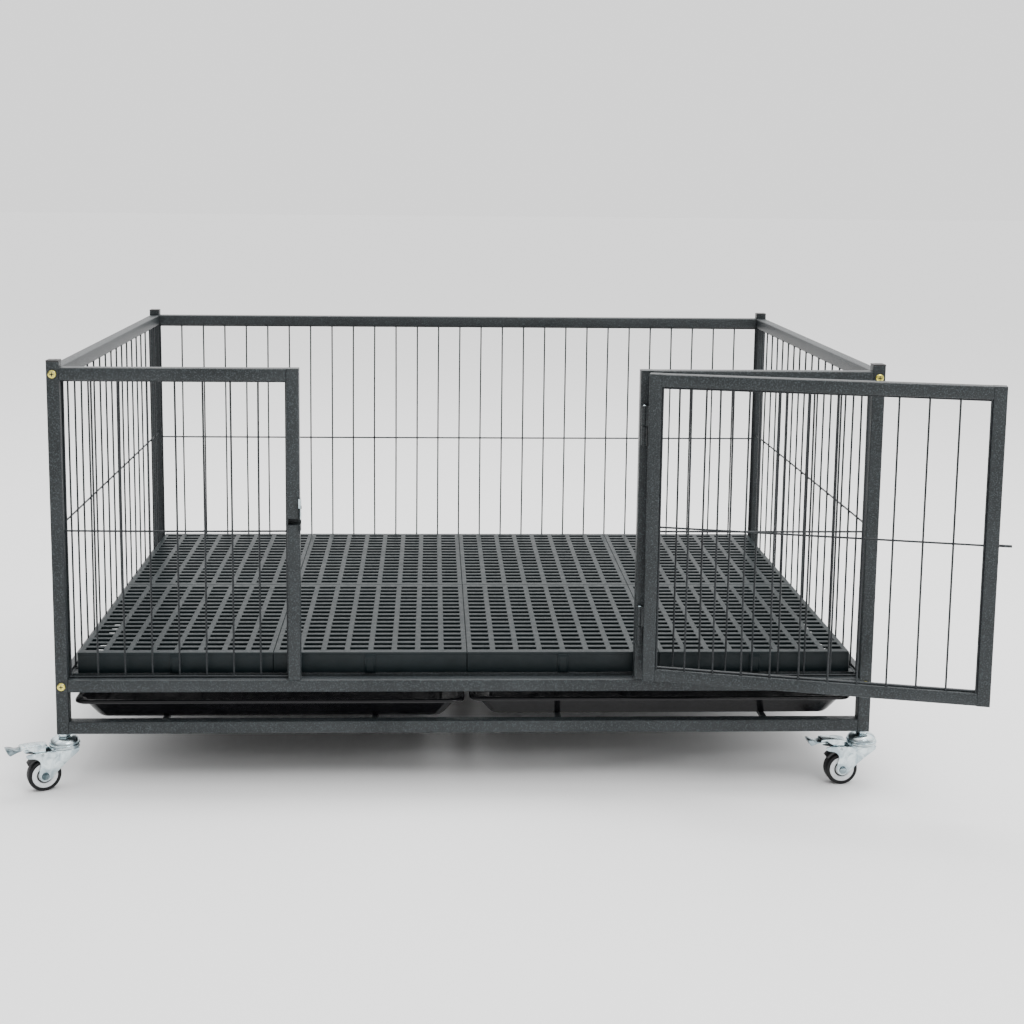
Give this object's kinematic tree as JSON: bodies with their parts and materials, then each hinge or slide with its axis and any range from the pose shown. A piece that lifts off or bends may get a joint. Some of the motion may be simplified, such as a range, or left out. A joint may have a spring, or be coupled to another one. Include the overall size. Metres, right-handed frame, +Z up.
{
  "type": "wire dog crate",
  "caption": "Open-top wire kennel on swivel casters: square-tube frame, welded meshes, hinged front door with latch, slotted plastic floor and pull-out trays.",
  "frame": {"origin": "centre of the whole model's footprint, with the door standing open as modelled, on the ground under the wheels", "axes": "+X to the right as seen from the doorway, +Y from the doorway to the back, +Z up"},
  "size_m": [1.4682, 0.994, 0.657],
  "materials": {
    "frame_coat": "charcoal hammertone powder coat",
    "wire_coat": "dark powder coat on welded wire",
    "runner_coat": "black powder coat",
    "floor_plastic": "dark grey moulded plastic, finely grained",
    "tray_plastic": "glossy black vacuum-formed plastic",
    "black_plastic": "black moulded plastic",
    "zinc_plate": "bright blue-white zinc plating",
    "brass_screws": "yellow zinc plated screws",
    "hub_plastic": "white-grey moulded hub",
    "tyre_rubber": "black rubber tyre"
  },
  "bodies": {
    "crate_frame": {"front_left_post": "frame_coat", "front_right_post": "frame_coat", "back_left_post": "frame_coat", "back_right_post": "frame_coat", "post_caps": "black_plastic", "corner_bolts": "brass_screws", "rail_nuts": "zinc_plate", "front_left_top_rail": "frame_coat", "front_right_top_rail": "frame_coat", "front_floor_rail": "frame_coat", "front_bottom_rail": "frame_coat", "back_top_rail": "frame_coat", "back_floor_rail": "frame_coat", "back_bottom_rail": "frame_coat", "left_side_frame": "frame_coat", "right_side_frame": "frame_coat", "hinge_post": "frame_coat", "latch_post": "frame_coat", "front_left_mesh": "wire_coat", "front_right_mesh": "wire_coat", "back_mesh": "wire_coat", "left_side_mesh": "wire_coat", "right_side_mesh": "wire_coat", "floor_crossbars": "frame_coat", "tray_runners": "runner_coat", "hinge_post_knuckles": "frame_coat", "hinge_pins": "zinc_plate", "latch_keeper": "frame_coat", "caster_stems": "zinc_plate", "stem_sockets": "black_plastic"},
    "door": {"door_knuckles": "frame_coat", "door_frame": "frame_coat", "latch_tongue": "frame_coat", "door_mesh": "wire_coat"},
    "catch": {"latch_catch": "zinc_plate"},
    "floor_front": {"floor_panels_front": "floor_plastic"},
    "floor_back": {"floor_panels_back": "floor_plastic"},
    "left_tray": {"tray_left": "tray_plastic"},
    "right_tray": {"tray_right": "tray_plastic"},
    "front_left_brake": {"front_left_caster_pedal": "zinc_plate", "front_left_caster_shoe": "black_plastic"},
    "front_left_swivel": {"front_left_caster_fork": "zinc_plate", "front_left_caster_axle": "zinc_plate"},
    "front_left_wheel": {"front_left_caster_hub": "hub_plastic", "front_left_caster_tyre": "tyre_rubber"},
    "front_right_brake": {"front_right_caster_pedal": "zinc_plate", "front_right_caster_shoe": "black_plastic"},
    "front_right_swivel": {"front_right_caster_fork": "zinc_plate", "front_right_caster_axle": "zinc_plate"},
    "front_right_wheel": {"front_right_caster_hub": "hub_plastic", "front_right_caster_tyre": "tyre_rubber"},
    "back_left_swivel": {"back_left_caster_fork": "zinc_plate", "back_left_caster_axle": "zinc_plate"},
    "back_left_wheel": {"back_left_caster_hub": "hub_plastic", "back_left_caster_tyre": "tyre_rubber"},
    "back_right_swivel": {"back_right_caster_fork": "zinc_plate", "back_right_caster_axle": "zinc_plate"},
    "back_right_wheel": {"back_right_caster_hub": "hub_plastic", "back_right_caster_tyre": "tyre_rubber"}
  },
  "joints": [
    {"name": "door_swing", "type": "hinge", "parent": "crate_frame", "child": "door", "pos_m": [0.22324, -0.35399, 0.385], "axis": [0, 0, 1], "range_deg": [-166.4, 10]},
    {"name": "catch_slide", "type": "slide", "parent": "crate_frame", "child": "catch", "axis": [0, 0, 1], "range_m": [-0.01, 0]},
    {"name": "floor_front_lift", "type": "slide", "parent": "crate_frame", "child": "floor_front", "axis": [0, 0, 1], "range_m": [0, 0.5]},
    {"name": "floor_back_lift", "type": "slide", "parent": "crate_frame", "child": "floor_back", "axis": [0, 0, 1], "range_m": [0, 0.5]},
    {"name": "left_tray_slide", "type": "slide", "parent": "crate_frame", "child": "left_tray", "axis": [0, -1, 0], "range_m": [0, 0.78]},
    {"name": "right_tray_slide", "type": "slide", "parent": "crate_frame", "child": "right_tray", "axis": [0, -1, 0], "range_m": [0, 0.78]},
    {"name": "front_left_swivel_turn", "type": "hinge", "parent": "crate_frame", "child": "front_left_swivel", "pos_m": [-0.65026, -0.33949, 0.07], "axis": [0, 0, 1], "continuous": true},
    {"name": "front_left_wheel_roll", "type": "hinge", "parent": "front_left_swivel", "child": "front_left_wheel", "pos_m": [-0.67927, -0.35302, 0.025], "axis": [-0.4226, 0.9063, 0], "continuous": true},
    {"name": "front_left_brake_press", "type": "hinge", "parent": "front_left_swivel", "child": "front_left_brake", "pos_m": [-0.68198, -0.35428, 0.059], "axis": [0.4226, -0.9063, 0], "range_deg": [0, 4]},
    {"name": "front_right_swivel_turn", "type": "hinge", "parent": "crate_frame", "child": "front_right_swivel", "pos_m": [0.57574, -0.33949, 0.07], "axis": [0, 0, 1], "continuous": true},
    {"name": "front_right_wheel_roll", "type": "hinge", "parent": "front_right_swivel", "child": "front_right_wheel", "pos_m": [0.54381, -0.34172, 0.025], "axis": [-0.0698, 0.9976, 0], "continuous": true},
    {"name": "front_right_brake_press", "type": "hinge", "parent": "front_right_swivel", "child": "front_right_brake", "pos_m": [0.54082, -0.34193, 0.059], "axis": [0.0698, -0.9976, 0], "range_deg": [0, 4]},
    {"name": "back_left_swivel_turn", "type": "hinge", "parent": "crate_frame", "child": "back_left_swivel", "pos_m": [-0.65026, 0.47151, 0.07], "axis": [0, 0, 1], "continuous": true},
    {"name": "back_left_wheel_roll", "type": "hinge", "parent": "back_left_swivel", "child": "back_left_wheel", "pos_m": [-0.68033, 0.46056, 0.025], "axis": [-0.342, 0.9397, 0], "continuous": true},
    {"name": "back_right_swivel_turn", "type": "hinge", "parent": "crate_frame", "child": "back_right_swivel", "pos_m": [0.57574, 0.47151, 0.07], "axis": [0, 0, 1], "continuous": true},
    {"name": "back_right_wheel_roll", "type": "hinge", "parent": "back_right_swivel", "child": "back_right_wheel", "pos_m": [0.54469, 0.47925, 0.025], "axis": [0.2419, 0.9703, 0], "continuous": true}
  ]
}
